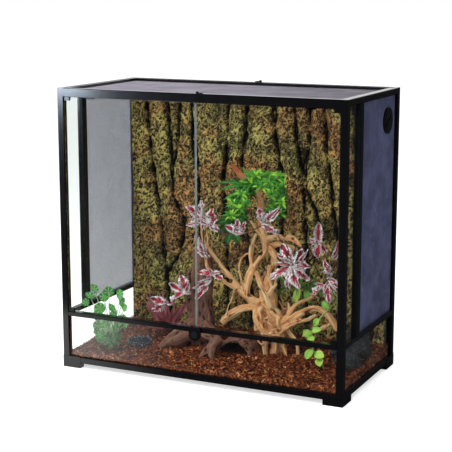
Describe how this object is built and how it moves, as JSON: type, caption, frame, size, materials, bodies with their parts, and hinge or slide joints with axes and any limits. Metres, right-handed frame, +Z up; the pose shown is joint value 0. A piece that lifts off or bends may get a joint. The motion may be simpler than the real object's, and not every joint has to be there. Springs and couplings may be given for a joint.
{
  "type": "terrarium",
  "caption": "Tall framed glass terrarium with two swing doors, key lock, mesh sides, lift-out screen top, access port and planted bark interior.",
  "frame": {"origin": "on the ground, under the middle of the case", "axes": "+X along the doors towards the side with the access port, +Y from the doors towards the back pane, +Z up"},
  "size_m": [0.902, 0.4623, 0.8509],
  "materials": {
    "black_frame": "satin black, moulded and extruded",
    "lock_metal": "black plated metal",
    "float_glass": "clear float glass",
    "screen_mesh": "fine dark woven wire",
    "bark_board": "rough bark, dark with dry-brushed ochre ridges",
    "bark_chips": "loose orange-brown chips",
    "driftwood_tan": "smooth weathered wood with dark grain lines",
    "stump_brown": "rough brown wood",
    "dark_stone": "rough dark stone",
    "dish_glaze": "dark glazed",
    "fern_green": "bright green leaves, yellow-green tips",
    "splashed_leaf": "maroon leaves with white veins, green edges, red stems",
    "round_leaf_green": "round green leaves",
    "maroon_strap": "dark maroon strap leaves",
    "vine_green": "yellow-green oval leaves"
  },
  "bodies": {
    "case": {"foot_front_left": "black_frame", "foot_front_right": "black_frame", "foot_back_left": "black_frame", "foot_back_right": "black_frame", "base_rail_front": "black_frame", "base_rail_back": "black_frame", "base_rail_left": "black_frame", "base_rail_right": "black_frame", "post_front_left": "black_frame", "post_front_right": "black_frame", "post_back_left": "black_frame", "post_back_right": "black_frame", "top_cap_front_left": "black_frame", "top_cap_front_right": "black_frame", "top_cap_back_left": "black_frame", "top_cap_back_right": "black_frame", "top_rail_front": "black_frame", "top_rail_back": "black_frame", "top_rail_left": "black_frame", "top_rail_right": "black_frame", "sill_rail": "black_frame", "mid_rail_left": "black_frame", "mid_rail_right": "black_frame", "mullion_left": "black_frame", "mullion_right": "black_frame", "floor_pan": "float_glass", "lower_glass_front": "float_glass", "lower_glass_left": "float_glass", "lower_glass_right": "float_glass", "strip_glass_left": "float_glass", "strip_glass_right": "float_glass", "back_glass": "float_glass", "side_mesh_left": "screen_mesh", "side_mesh_right": "screen_mesh", "port_ring": "black_frame", "lock_housing": "black_frame", "bark_background": "bark_board", "substrate": "bark_chips", "driftwood": "driftwood_tan", "stump_hide": "stump_brown", "rocks": "dark_stone", "water_dish": "dish_glaze", "fern": "fern_green", "leaf_garland": "splashed_leaf", "round_leaf_plant": "round_leaf_green", "maroon_plant": "maroon_strap", "vine": "vine_green"},
    "door_left": {"door_glass_left": "float_glass", "door_pivot_top_left": "black_frame", "door_pivot_bottom_left": "black_frame"},
    "door_right": {"door_glass_right": "float_glass", "door_pivot_top_right": "black_frame", "door_pivot_bottom_right": "black_frame"},
    "lock_cylinder": {"lock_cylinder": "lock_metal"},
    "lock_bolt": {"lock_bolt": "lock_metal"},
    "lid": {"lid_frame": "black_frame", "lid_mesh": "screen_mesh"},
    "latch_front": {"latch_front": "black_frame"},
    "latch_back": {"latch_back": "black_frame"},
    "port_cover": {"port_cover": "black_frame"}
  },
  "joints": [
    {"name": "door_left_swing", "type": "hinge", "parent": "case", "child": "door_left", "pos_m": [-0.42, -0.218, 0.174], "axis": [0, 0, 1], "range_deg": [-110, 0]},
    {"name": "door_right_swing", "type": "hinge", "parent": "case", "child": "door_right", "pos_m": [0.42, -0.218, 0.174], "axis": [0, 0, 1], "range_deg": [0, 110]},
    {"name": "lock_turn", "type": "hinge", "parent": "case", "child": "lock_cylinder", "pos_m": [0, -0.2337, 0.155], "axis": [0, -1, 0], "range_deg": [0, 90]},
    {"name": "lock_bolt_lift", "type": "slide", "parent": "case", "child": "lock_bolt", "axis": [0, 0, 1], "range_m": [0, 0.008]},
    {"name": "lid_lift", "type": "slide", "parent": "case", "child": "lid", "axis": [0, 0, 1], "range_m": [0, 0.2]},
    {"name": "latch_front_turn", "type": "hinge", "parent": "case", "child": "latch_front", "pos_m": [0.005, -0.2185, 0.8453], "axis": [0, 0, 1], "range_deg": [0, 90]},
    {"name": "latch_back_turn", "type": "hinge", "parent": "case", "child": "latch_back", "pos_m": [0.004, 0.2185, 0.8453], "axis": [0, 0, 1], "range_deg": [0, 90]},
    {"name": "port_cover_twist", "type": "hinge", "parent": "case", "child": "port_cover", "pos_m": [0.4395, 0.137, 0.755], "axis": [1, 0, 0], "range_deg": [0, 90]}
  ],
  "couplings": [
    {"joint": "lock_bolt_lift", "follows": "lock_turn", "m_per_rad": 0.005092}
  ]
}
